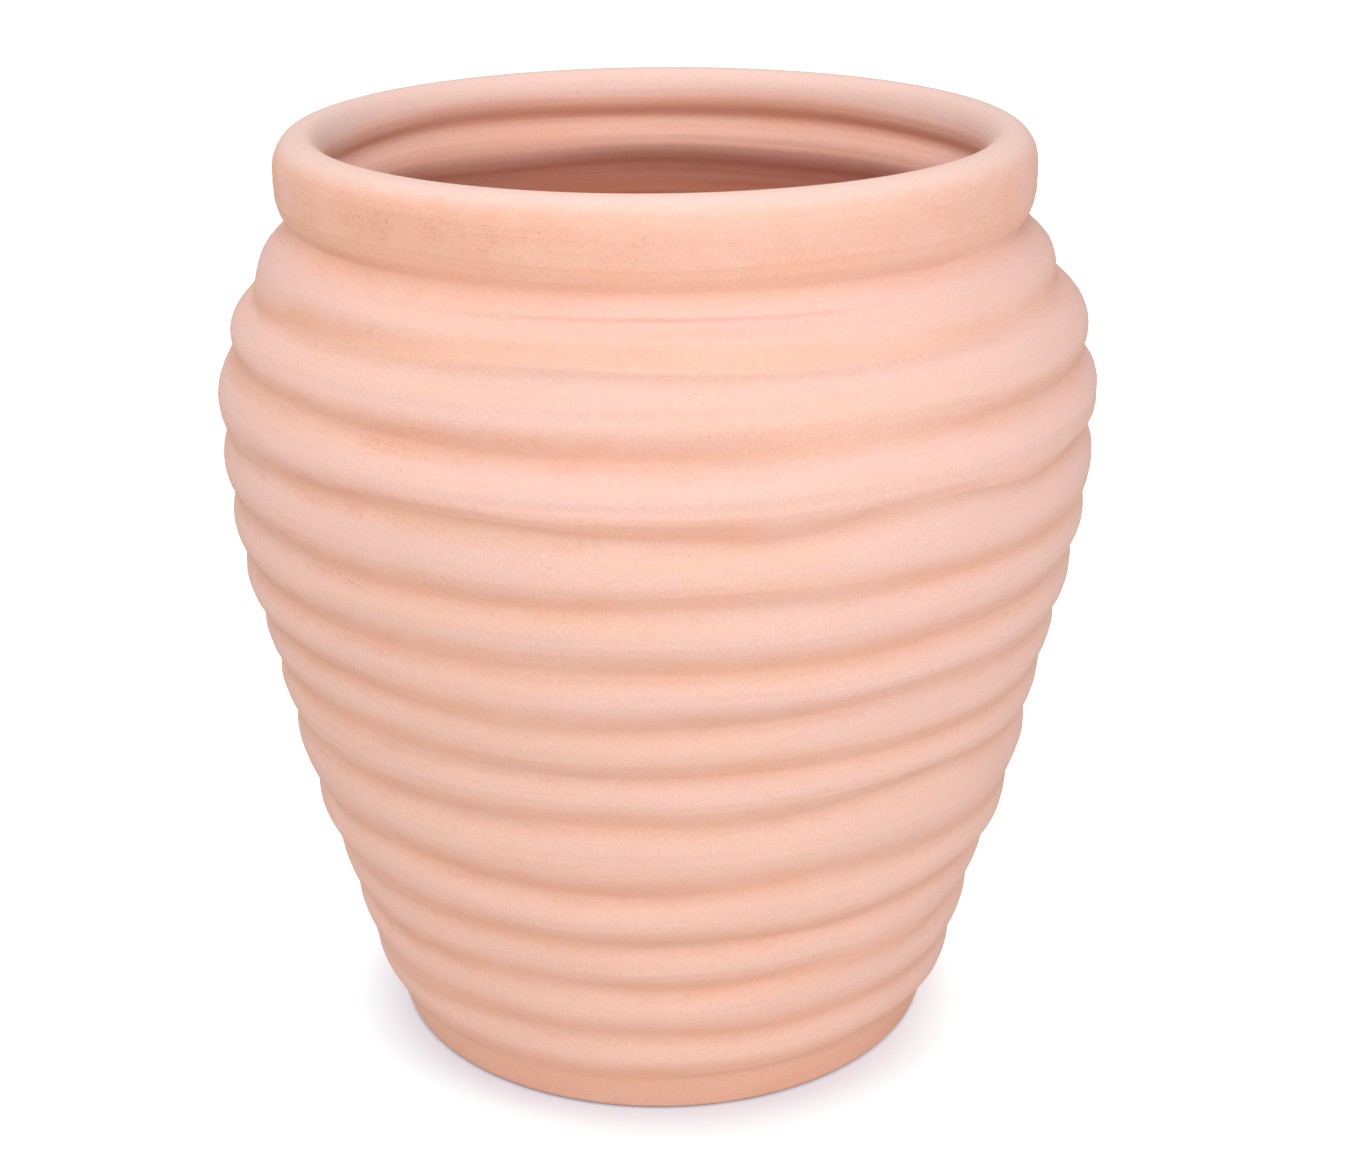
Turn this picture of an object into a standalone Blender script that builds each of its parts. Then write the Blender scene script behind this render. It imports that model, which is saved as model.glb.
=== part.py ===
"""Ribbed terracotta planter, 53 cm tall: a flat slab, three luted rings of wall and a rolled collar.

Metres, +Z up, origin on the ground at the middle of the underside. Every piece is turned about the Z axis from an
outline of (radius, height) points. Each piece but the top one carries a raised tongue on its upper face, and the
piece above is grooved to match, with a film of slip between them. The slab's floor stands proud inside the first
ring, which is set down round it.
"""

import math

import bmesh
import bpy

# The slab under the pot. Its height is at the seat of the wall, and the floor inside is a little higher
FOOT_RADIUS = 0.161
FOOT_CHAMFER = 0.002
SLAB_HEIGHT = 0.025
FLOOR_RISE = 0.003
SLAB_TOP_RADIUS = 0.1685
DRAIN_RADIUS = 0.016
DRAIN_CHAMFER = 0.002

# The wall. These radii are at the bottom of the grooves, and the ribs stand out from them. The belly is the widest
# place, and its rise is from the slab
BELLY_RISE = 0.325
BELLY_RADIUS = 0.242
NECK_RADIUS = 0.198
WALL = 0.020
FLOOR_FILLET = 0.012
FILLET_EDGE = 0.0015

# Each rib's height and how far it stands out, from the lowest rib of a ring to its highest
LOWER_RIBS = ((0.032, 0.006), (0.0355, 0.0065), (0.033, 0.0065), (0.0365, 0.009))
MIDDLE_RIBS = ((0.044, 0.0085), (0.033, 0.006), (0.031, 0.0055), (0.032, 0.007), (0.035, 0.0065))
SHOULDER_RIBS = ((0.037, 0.0065), (0.038, 0.010), (0.041, 0.0095), (0.032, 0.0085))

# The rolled collar
COLLAR_RADIUS = 0.2105
COLLAR_UNDERCUT = 0.0145
COLLAR_FACE = 0.012
COLLAR_CROWN = 0.021
CREST_RADIUS = 0.1945
LIP_RADIUS = 0.1825
LIP_DROP = 0.016
RECESS_RADIUS = 0.1875
RECESS_HEIGHT = 0.0205

# The luted joints
TONGUE_HEIGHT = 0.0035
SLIP_GAP = 0.0004

# The tongue, as shares of the wall that it stands on
TONGUE_FOOT = 0.55
TONGUE_TIP = 0.20

# Shape of the curves, as shares of the stretch that each one covers
FOOT_STRAIGHT = 0.19
BELLY_ROUND_BELOW = 0.18
BELLY_ROUND_ABOVE = 0.47
NECK_STEEP = 0.16
NECK_ROUND = 0.54
RIB_SAG = 1.1
RIB_ROUND = 1.0
INNER_FOLLOW = 0.5
COLLAR_ROUND = 0.9
UNDERCUT_ROUND = 0.9

# Fineness of the meshes
SEGMENTS = 48
RIB_STEPS = 4
INNER_STEPS = 2
CORNER_STEPS = 4
BISECTIONS = 40
SHARP_ANGLE = math.radians(40)

# Linear base colours
SLAB_COLOUR = (0.72, 0.41, 0.28)
WALL_COLOUR = (0.83, 0.53, 0.40)
COLLAR_COLOUR = (0.86, 0.53, 0.37)
ROUGHNESS = 0.92


def stack(ribs):
    """Height of a run of ribs."""
    return sum(height for height, swell in ribs)


BELLY_HEIGHT = SLAB_HEIGHT + BELLY_RISE
FLOOR_HEIGHT = SLAB_HEIGHT + FLOOR_RISE
LOWER_SEAT = SLAB_HEIGHT
MIDDLE_SEAT = LOWER_SEAT + stack(LOWER_RIBS)
SHOULDER_SEAT = MIDDLE_SEAT + stack(MIDDLE_RIBS)
NECK_HEIGHT = SHOULDER_SEAT + stack(SHOULDER_RIBS)
TOP_HEIGHT = NECK_HEIGHT + COLLAR_UNDERCUT + COLLAR_FACE + COLLAR_CROWN


def mix(a, b, share):
    return a + (b - a) * share


def bezier(a, b, c, d, t):
    s = 1 - t
    return s**3 * a + 3 * s * s * t * b + 3 * s * t * t * c + t**3 * d


def girth(height):
    """Radius at the bottom of the grooves: one curve from the slab to the belly, and one on to the neck."""
    if height <= BELLY_HEIGHT:
        heights = (
            SLAB_HEIGHT,
            mix(SLAB_HEIGHT, BELLY_HEIGHT, FOOT_STRAIGHT),
            mix(BELLY_HEIGHT, SLAB_HEIGHT, BELLY_ROUND_BELOW),
            BELLY_HEIGHT,
        )
        flare = mix(SLAB_TOP_RADIUS, BELLY_RADIUS, FOOT_STRAIGHT)
        radii = (SLAB_TOP_RADIUS, flare, BELLY_RADIUS, BELLY_RADIUS)
    else:
        heights = (
            BELLY_HEIGHT,
            mix(BELLY_HEIGHT, NECK_HEIGHT, BELLY_ROUND_ABOVE),
            mix(NECK_HEIGHT, BELLY_HEIGHT, NECK_STEEP),
            NECK_HEIGHT,
        )
        slope = mix(NECK_RADIUS, BELLY_RADIUS, NECK_ROUND)
        radii = (BELLY_RADIUS, BELLY_RADIUS, slope, NECK_RADIUS)
    low, high = 0.0, 1.0
    for _ in range(BISECTIONS):
        middle = (low + high) / 2
        if bezier(*heights, middle) < height:
            low = middle
        else:
            high = middle
    return bezier(*radii, low)


def ribbed(ribs, seat, steps, offset, follow):
    """Outline up a run of ribs from its seat, offset from the girth. A rib sags, so its crest is nearer its foot."""
    points = [(girth(seat) + offset, seat)]
    floor = seat
    for height, swell in ribs:
        for step in range(steps - 1, -1, -1):
            depth = (step / steps) ** (1 / RIB_SAG)
            level = floor + height * (1 - depth)
            bulge = swell * math.sin(math.pi * step / steps) ** RIB_ROUND if step else 0.0
            points.append((girth(level) + offset + bulge * follow, level))
        floor += height
    return points


def corner(start, end, power, up_first):
    """Rounded corner from start to end, as the points after start. It leaves start along Z if up_first, or along R."""
    points = []
    for step in range(1, CORNER_STEPS + 1):
        angle = math.pi / 2 * step / CORNER_STEPS
        along = math.sin(angle) ** power
        across = 1 - max(math.cos(angle), 0.0) ** power
        shares = (across, along) if up_first else (along, across)
        points.append((mix(start[0], end[0], shares[0]), mix(start[1], end[1], shares[1])))
    return points


def joint(radius, height):
    """The tongue across a joint, from its outer foot to its inner foot, at the middle of the wall."""
    middle = radius - WALL / 2
    foot = TONGUE_FOOT * WALL / 2
    tip = TONGUE_TIP * WALL / 2
    return [
        (middle + foot, height),
        (middle + tip, height + TONGUE_HEIGHT),
        (middle - tip, height + TONGUE_HEIGHT),
        (middle - foot, height),
    ]


def terracotta(name, colour):
    material = bpy.data.materials.new(name)
    material.use_nodes = True
    shader = material.node_tree.nodes["Principled BSDF"]
    shader.inputs["Base Color"].default_value = (*colour, 1)
    shader.inputs["Roughness"].default_value = ROUGHNESS
    shader.inputs["Metallic"].default_value = 0.0
    return material


def turned(name, outline, seat, colour, parent):
    """A ring turned from a closed outline. Its origin is on the pot's axis, at its seat."""
    shape = bmesh.new()
    corners = [shape.verts.new((radius, 0, height - seat)) for radius, height in outline]
    edges = [shape.edges.new((a, b)) for a, b in zip(corners, corners[1:] + corners[:1])]
    bmesh.ops.spin(
        shape,
        geom=corners + edges,
        cent=(0, 0, 0),
        axis=(0, 0, 1),
        angle=2 * math.pi,
        steps=SEGMENTS,
        use_merge=True,
    )
    bmesh.ops.recalc_face_normals(shape, faces=shape.faces[:])
    mesh = bpy.data.meshes.new(name)
    shape.to_mesh(mesh)
    shape.free()
    mesh.shade_smooth()
    mesh.set_sharp_from_angle(angle=SHARP_ANGLE)
    mesh.materials.append(terracotta(name + "_clay", colour))
    ring = bpy.data.objects.new(name, mesh)
    bpy.context.scene.collection.objects.link(ring)
    ring.location.z = seat
    ring.parent = parent
    return ring


def base_slab(parent):
    """The disc that the pot stands on, with its raised floor and the drain hole through its middle."""
    underside = [(DRAIN_RADIUS + DRAIN_CHAMFER, 0.0), (FOOT_RADIUS - FOOT_CHAMFER, 0.0)]
    edge = [(FOOT_RADIUS, FOOT_CHAMFER), (SLAB_TOP_RADIUS, SLAB_HEIGHT)]
    floor_radius = SLAB_TOP_RADIUS - WALL - FLOOR_FILLET - SLIP_GAP
    floor = [(floor_radius, SLAB_HEIGHT), (floor_radius, FLOOR_HEIGHT)]
    drain = [
        (DRAIN_RADIUS + DRAIN_CHAMFER, FLOOR_HEIGHT),
        (DRAIN_RADIUS, FLOOR_HEIGHT - DRAIN_CHAMFER),
        (DRAIN_RADIUS, DRAIN_CHAMFER),
    ]
    outline = underside + edge + joint(SLAB_TOP_RADIUS, SLAB_HEIGHT) + floor + drain
    return turned("base_slab", outline, 0.0, SLAB_COLOUR, parent)


def wall_ring(name, ribs, seat, parent, inner_foot=()):
    """A ring of wall between two joints. inner_foot replaces the inner edge at its seat."""
    top = seat + stack(ribs)
    outer = ribbed(ribs, seat, RIB_STEPS, 0.0, 1.0)
    inner = ribbed(ribs, seat, INNER_STEPS, -WALL, INNER_FOLLOW)
    outer[0] = (outer[0][0], seat + SLIP_GAP)
    inner[0] = (inner[0][0], seat + SLIP_GAP)
    lower_face = joint(girth(seat), seat + SLIP_GAP)
    upper_face = joint(girth(top), top)
    if inner_foot:
        start = inner_foot[-1][1]
        inner = list(inner_foot) + [point for point in inner if point[1] > start]
    outline = outer + upper_face + inner[::-1] + lower_face[::-1]
    return turned(name, outline, seat, WALL_COLOUR, parent)


def floor_corner():
    """The soft roll of clay pressed into the corner between the floor and the wall, from the floor up."""
    wall = SLAB_TOP_RADIUS - WALL
    start = (wall - FLOOR_FILLET, FLOOR_HEIGHT + FILLET_EDGE)
    end = (wall, start[1] + FLOOR_FILLET)
    return [(start[0], LOWER_SEAT + SLIP_GAP), start] + corner(start, end, 1.0, False)


def rim_collar(parent):
    """The thick roll of clay round the mouth, rounded over its crest and hollowed behind its lip."""
    seat = NECK_HEIGHT + SLIP_GAP
    face_low = (COLLAR_RADIUS, NECK_HEIGHT + COLLAR_UNDERCUT)
    face_high = (COLLAR_RADIUS, face_low[1] + COLLAR_FACE)
    crest = (CREST_RADIUS, TOP_HEIGHT)
    lip = (LIP_RADIUS, TOP_HEIGHT - LIP_DROP)
    recess = (RECESS_RADIUS, NECK_HEIGHT + RECESS_HEIGHT)
    neck = (girth(NECK_HEIGHT), seat)
    ridge = (neck[0] - WALL, seat)
    outline = [neck]
    outline += corner(neck, face_low, UNDERCUT_ROUND, False)
    outline += [face_high]
    outline += corner(face_high, crest, COLLAR_ROUND, True)
    outline += corner(crest, lip, COLLAR_ROUND, False)
    outline += [((lip[0] + recess[0]) / 2, (lip[1] + recess[1]) / 2), recess]
    outline += corner(recess, ridge, 1.0, True)
    outline += joint(neck[0], seat)[::-1]
    return turned("rim_collar", outline, NECK_HEIGHT, COLLAR_COLOUR, parent)


def main():
    for item in list(bpy.data.objects):
        bpy.data.objects.remove(item)
    planter = bpy.data.objects.new("planter", None)
    bpy.context.scene.collection.objects.link(planter)
    base_slab(planter)
    wall_ring("lower_wall", LOWER_RIBS, LOWER_SEAT, planter, floor_corner())
    wall_ring("middle_wall", MIDDLE_RIBS, MIDDLE_SEAT, planter)
    wall_ring("shoulder_wall", SHOULDER_RIBS, SHOULDER_SEAT, planter)
    rim_collar(planter)


main()
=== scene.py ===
"""Looks of the ribbed terracotta planter: clay skin, pale floor, soft light and the photograph's camera.

Metres, +Z up, the planter's frame. The skin is one closed outline of (radius, height) rows, turned about
the Z axis and cut at the luted joints, so each ring of clay is its own piece and the skin still runs on over
the joints. The unevenness that hands leave is laid over the whole skin at once.
"""

import math

import bpy
import numpy as np
from mathutils import Matrix, Vector


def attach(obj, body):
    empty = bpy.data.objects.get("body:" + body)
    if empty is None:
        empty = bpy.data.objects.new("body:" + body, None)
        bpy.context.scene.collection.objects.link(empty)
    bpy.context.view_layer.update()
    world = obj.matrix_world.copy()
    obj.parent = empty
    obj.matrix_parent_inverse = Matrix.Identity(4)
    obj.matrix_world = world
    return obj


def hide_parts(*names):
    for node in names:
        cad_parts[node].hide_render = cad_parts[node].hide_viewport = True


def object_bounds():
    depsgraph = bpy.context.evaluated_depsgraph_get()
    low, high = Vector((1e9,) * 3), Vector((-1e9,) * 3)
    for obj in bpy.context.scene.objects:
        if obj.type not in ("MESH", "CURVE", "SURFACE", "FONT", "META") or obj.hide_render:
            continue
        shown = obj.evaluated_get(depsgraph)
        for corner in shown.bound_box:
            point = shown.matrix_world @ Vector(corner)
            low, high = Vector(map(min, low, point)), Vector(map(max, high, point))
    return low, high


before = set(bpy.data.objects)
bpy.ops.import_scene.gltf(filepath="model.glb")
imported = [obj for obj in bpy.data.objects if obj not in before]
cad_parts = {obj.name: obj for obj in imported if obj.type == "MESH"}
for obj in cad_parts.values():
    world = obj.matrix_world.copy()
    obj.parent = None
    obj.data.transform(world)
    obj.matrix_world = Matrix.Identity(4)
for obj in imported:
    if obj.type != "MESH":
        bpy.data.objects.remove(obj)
cad_low, cad_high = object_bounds()

# The outline's sizes. They are the solids' sizes with three changes: the lip's drop and the recess's height
# put the softened edges where the photo has them, and the floor's fillet is half a millimetre wider.
FOOT_RADIUS = 0.161
SLAB_HEIGHT = 0.025
FLOOR_HEIGHT = 0.028
SLAB_TOP_RADIUS = 0.1685
DRAIN_RADIUS = 0.016
BELLY_HEIGHT = 0.350
BELLY_RADIUS = 0.242
NECK_RADIUS = 0.198
WALL = 0.020
FLOOR_FILLET = 0.0125
COLLAR_RADIUS = 0.2105
COLLAR_UNDERCUT = 0.0145
COLLAR_FACE = 0.012
CREST_RADIUS = 0.1945
LIP_RADIUS = 0.1825
LIP_DROP = 0.0190
RECESS_RADIUS = 0.1875
RECESS_HEIGHT = 0.0190
# How far the ridge inside the neck sags, and over what half height
RIDGE_SAG = 0.0018
RIDGE_TALL = 0.012

# Each rib's height, how far it stands out and how strong its pale bloom is, from the lowest rib up
# The bloom is partly the clay's own, partly painted shade of the shallow creases across the ribs
LOWER_RIBS = (
    (0.032, 0.006, 0.20),
    (0.0355, 0.0065, 0.20),
    (0.033, 0.0065, 0.20),
    (0.0365, 0.009, 0.25),
)
MIDDLE_RIBS = (
    (0.044, 0.0085, 0.25),
    (0.033, 0.006, 0.20),
    (0.031, 0.0055, 0.20),
    (0.032, 0.007, 0.25),
    (0.035, 0.0065, 0.30),
)
SHOULDER_RIBS = (
    (0.037, 0.0065, 0.35),
    (0.038, 0.010, 0.42),
    (0.041, 0.0095, 0.50),
    (0.032, 0.0085, 0.75),
)

# Shares that shape the curves
FOOT_STRAIGHT = 0.19
BELLY_ROUND_BELOW = 0.18
BELLY_ROUND_ABOVE = 0.47
NECK_STEEP = 0.16
NECK_ROUND = 0.54
RIB_SAG = 1.1
RIB_ROUND = 1.0
INNER_FOLLOW = 0.5
COLLAR_ROUND = 0.9
UNDERCUT_ROUND = 0.9

# How far edges are softened: the foot and drain, the ribs' grooves, the collar, the neck's groove, the
# inside of the ribs, the recess and the ridge inside the neck. NECK_FADE is how far below the neck its
# softness gives way, and SOFT_STEPS are the softnesses that the others are blended from.
EDGE_SOFT = 0.0012
GROOVE_SOFT = 0.0036
COLLAR_SOFT = 0.0020
NECK_SOFT = 0.0048
INNER_SOFT = 0.0055
RECESS_SOFT = 0.0028
RIDGE_SOFT = 0.0100
NECK_FADE = (0.006, 0.016)
SOFT_STEPS = (0.0008, 0.0015, 0.0025, 0.0035, 0.0050, 0.0070, 0.0100, 0.0140)

# Fineness: points round the pot, spacing of the rows while the outline is shaped, rows that a softness and a
# dip are averaged over, then the final spacing on each kind of surface
RING = 512
DENSE = 0.0003
SOFT_SPREAD = 16
DIP_SPREAD = 8
OUTER_STEP = 0.0013
RIM_STEP = 0.0010
INNER_STEP = 0.0022

TONGUE_HEIGHT = 0.0035
TONGUE_FOOT = 0.55
TONGUE_TIP = 0.20

# Hand-made unevenness: its seed, how far the pot is out of round and the limits of that, how far the grooves
# wander, how uneven the ribs are, at most too, up to what height a rib counts as standing out, and how full
# the grooves are, at most too
SEED = 53
OUT_OF_ROUND = 0.0004
ROUND_LIMITS = (-0.0006, 0.0003)
GROOVE_WANDER = 0.0009
RIB_UNEVEN = 0.06
UNEVEN_MOST = 0.12
RIB_STAND = 0.015
GROOVE_FILL = 0.22
FILL_MOST = 0.6
# Fingers' fine ridges outside and inside: how high they are, and their shortest and longest spacing
THROW_OUT = 0.00010
PITCH_OUT = (0.0028, 0.0090)
THROW_IN = 0.00035
PITCH_IN = (0.0060, 0.0150)
# Thumb marks: how many, and the ranges of their heights, half widths, flatness and depths
DENTS = 46
DENT_LEVELS = (0.04, 0.50)
DENT_WIDTHS = (0.006, 0.020)
DENT_FLATNESS = (0.3, 0.8)
DENT_DEPTHS = (0.0001, 0.00045)
# The unevenness fades out this near the foot and the top, and the skin stays this far inside the solids' box
FOOT_FADE = 0.03
TOP_FADE = 0.02
SIDE_MARGIN = 0.0002
TOP_MARGIN = 0.00005

# The photograph's camera
PHOTO_WIDTH = 1351
PHOTO_FOCAL = 2300
SENSOR = 36.0
CAMERA_PLACE = (0.00945, -1.2762, 0.7560)
CAMERA_PITCH = math.radians(21.265)
CAMERA_ROLL = math.radians(-0.425)


def mix(a, b, share):
    return a + (b - a) * share


def smoothstep(low, high, value):
    share = np.clip((np.asarray(value, float) - low) / (high - low), 0, 1)
    return share * share * (3 - 2 * share)


def bump(centre, width, value):
    return np.exp(-(((np.asarray(value, float) - centre) / width) ** 2))


def stack(ribs):
    return sum(rib[0] for rib in ribs)


MIDDLE_SEAT = SLAB_HEIGHT + stack(LOWER_RIBS)
SHOULDER_SEAT = MIDDLE_SEAT + stack(MIDDLE_RIBS)
NECK_HEIGHT = SHOULDER_SEAT + stack(SHOULDER_RIBS)
TOP_HEIGHT = cad_high.z

# Where neighbouring ribs ran together: angle, height, half width in radians and share of the groove filled
RUN_TOGETHER = (
    (-1.60, NECK_HEIGHT, 1.10, 0.61),
    (-1.45, NECK_HEIGHT - SHOULDER_RIBS[-1][0], 0.85, 1.00),
    (-2.60, MIDDLE_SEAT - LOWER_RIBS[-1][0], 0.50, 0.55),
    (-2.75, SLAB_HEIGHT + LOWER_RIBS[0][0], 0.60, 0.60),
    (0.60, SHOULDER_SEAT, 0.45, 0.50),
    (2.10, MIDDLE_SEAT, 0.60, 0.60),
)
# Where a groove strays up or down: angle, height, half width in radians and how far it rises
STRAYS = (
    (-1.55, NECK_HEIGHT, 1.00, 0.0015),
    (-2.75, 0.453, 0.50, -0.0060),
    (-1.85, 0.453, 0.35, 0.0050),
    (-2.45, 0.412, 0.30, 0.0050),
    (-1.40, 0.412, 0.16, -0.0030),
    (-1.10, 0.412, 0.18, 0.0030),
    (-1.90, 0.374, 0.33, 0.0082),
    (-1.35, 0.374, 0.16, -0.0030),
    (-0.90, 0.374, 0.20, 0.0075),
    (-1.42, SHOULDER_SEAT, 0.25, 0.0045),
    (-0.90, 0.270, 0.30, 0.0060),
    (-0.85, 0.206, 0.30, 0.0055),
    (-2.40, 0.0925, 0.35, -0.0045),
    (-1.95, 0.0925, 0.30, 0.0045),
    (-2.45, 0.057, 0.25, -0.0045),
    (-1.60, 0.057, 0.25, 0.0035),
    (-1.25, SLAB_HEIGHT, 0.35, 0.0045),
)
# Creases pressed into the ribs: angle, height, half width in radians, depth and half height
CREASES = (
    (-1.50, 0.4720, 0.75, 0.0056, 0.0034),
    (-1.45, 0.4325, 0.80, 0.0009, 0.0030),
    (-1.50, 0.3907, 0.60, 0.0009, 0.0030),
)
# Fuller places: angle, height, half width in radians and how far they stand out
FULLNESS = ((0.0, 0.392, 0.70, 0.0025), (0.0, 0.430, 0.70, 0.0028))
# Half heights of the places that ran together, of the strays and of the fuller places
FILL_TALL = 0.010
STRAY_TALL = 0.013
FULL_TALL = 0.018


def bezier(points, t):
    a, b, c, d = points
    s = 1 - t
    return s**3 * a + 3 * s * s * t * b + 3 * s * t * t * c + t**3 * d


def girth_curve():
    """Heights and radii of the grooves' envelope, to be read by interpolation."""
    t = np.linspace(0, 1, 400)
    flare = mix(SLAB_TOP_RADIUS, BELLY_RADIUS, FOOT_STRAIGHT)
    low_heights = (
        SLAB_HEIGHT,
        mix(SLAB_HEIGHT, BELLY_HEIGHT, FOOT_STRAIGHT),
        mix(BELLY_HEIGHT, SLAB_HEIGHT, BELLY_ROUND_BELOW),
        BELLY_HEIGHT,
    )
    high_heights = (
        BELLY_HEIGHT,
        mix(BELLY_HEIGHT, NECK_HEIGHT, BELLY_ROUND_ABOVE),
        mix(NECK_HEIGHT, BELLY_HEIGHT, NECK_STEEP),
        NECK_HEIGHT,
    )
    slope = mix(NECK_RADIUS, BELLY_RADIUS, NECK_ROUND)
    heights = np.concatenate([bezier(low_heights, t), bezier(high_heights, t)[1:]])
    low_radii = bezier((SLAB_TOP_RADIUS, flare, BELLY_RADIUS, BELLY_RADIUS), t)
    high_radii = bezier((BELLY_RADIUS, BELLY_RADIUS, slope, NECK_RADIUS), t)
    return heights, np.concatenate([low_radii, high_radii[1:]])


GIRTH_HEIGHTS, GIRTH_RADII = girth_curve()


def girth(height):
    return np.interp(height, GIRTH_HEIGHTS, GIRTH_RADII)


# A row of the outline: radius, height, softness and how far it dips below the ribs' crests, then the paint's
# masks, each from 0 to 1
COLUMNS = 11
RADIUS, HEIGHT, SOFT, DIP, ORANGE, BLOOM_AND_SHADE, GROOVE, FLECK, INSIDE, PALE, FOOT = range(COLUMNS)
MASKS = {
    "orange": ORANGE,
    "bloom": BLOOM_AND_SHADE,
    "groove": GROOVE,
    "fleck": FLECK,
    "inside": INSIDE,
    "pale": PALE,
    "foot": FOOT,
}
FIELDS = {"dip": DIP, **MASKS}
# How much of a mask goes where a groove is filled
PAINT_FILL = {GROOVE: 0.8, FLECK: 0.8, ORANGE: 0.4}


def rows(radius, height, soft, **fields):
    """Rows of the outline, with the named fields filled in."""
    radius, height = np.broadcast_arrays(np.asarray(radius, float), np.asarray(height, float))
    made = np.zeros((len(radius), COLUMNS))
    made[:, RADIUS] = radius
    made[:, HEIGHT] = height
    made[:, SOFT] = soft
    for name, value in fields.items():
        made[:, FIELDS[name]] = value
    return made


def line(start, end, soft, **fields):
    """A straight stretch from start to end."""
    count = max(2, int(math.dist(start, end) / DENSE))
    return rows(np.linspace(start[0], end[0], count), np.linspace(start[1], end[1], count), soft, **fields)


def outer_ribs(ribs, seat):
    """The outside of a run of ribs, going up. The clay sags, so each crest is nearer its rib's foot."""
    made = []
    floor = seat
    for height, swell, bloom in ribs:
        depth = np.linspace(1, 0, int(height / DENSE))
        level = floor + height * (1 - depth)
        bulge = swell * np.clip(np.sin(math.pi * depth**RIB_SAG), 0, 1) ** RIB_ROUND
        below_top = depth * height
        above_foot = (1 - depth) * height
        # The orange towards each rib's foot and just under the groove above is partly the clay's own, partly
        # painted shade and bounced light by the grooves
        made.append(
            rows(
                girth(level) + bulge,
                level,
                mix(NECK_SOFT, GROOVE_SOFT, smoothstep(*NECK_FADE, NECK_HEIGHT - level)),
                dip=swell - bulge,
                orange=np.clip(smoothstep(0.45, 0.92, depth) + 0.5 * bump(0.0, 0.005, below_top), 0, 1),
                # Lilac band across the rib's middle: partly the clay's bloom, partly painted shade of its
                # crease
                bloom=bloom * bump(0.47, 0.15, depth),
                # The groove mask paints shade in the grooves at both ends of the rib
                groove=bump(0.0, 0.0042, np.minimum(below_top, above_foot)),
                fleck=np.clip(bump(0.0045, 0.0030, below_top) + 0.6 * bump(0.008, 0.005, above_foot), 0, 1),
            )
        )
        floor += height
    return np.concatenate(made)


def inner_ribs(ribs, seat):
    """The inside of a run of ribs, going down. It follows the outside half as far."""
    outside = outer_ribs(ribs, seat)
    level = outside[:, HEIGHT]
    envelope = girth(level)
    radius = envelope - WALL + INNER_FOLLOW * (outside[:, RADIUS] - envelope)
    keep = level > FLOOR_HEIGHT + FLOOR_FILLET
    # The inside's red is partly painted shade: light by the ridge, which light reaches, full further down
    near_ridge = smoothstep(NECK_HEIGHT - 0.045, NECK_HEIGHT, level)
    soft = mix(INNER_SOFT, RIDGE_SOFT, near_ridge)
    return rows(radius, level, soft, inside=1 - 0.85 * near_ridge)[keep][::-1]


def slab_outside():
    """From the drain's lower edge, out under the pot and up its foot."""
    under = line((DRAIN_RADIUS, 0), (FOOT_RADIUS, 0), EDGE_SOFT, foot=1.0)
    side = line((FOOT_RADIUS, 0), (SLAB_TOP_RADIUS, SLAB_HEIGHT), EDGE_SOFT)
    share = side[:, HEIGHT] / SLAB_HEIGHT
    side[:, FOOT] = 1 - 0.35 * smoothstep(0.3, 1.0, share)
    side[:, SOFT] = mix(EDGE_SOFT, GROOVE_SOFT, smoothstep(0.3, 0.8, share))
    side[:, ORANGE] = 1.0
    # Painted shade in the groove over the foot
    side[:, GROOVE] = bump(SLAB_HEIGHT, 0.0045, side[:, HEIGHT])
    return np.concatenate([under, side])


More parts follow.
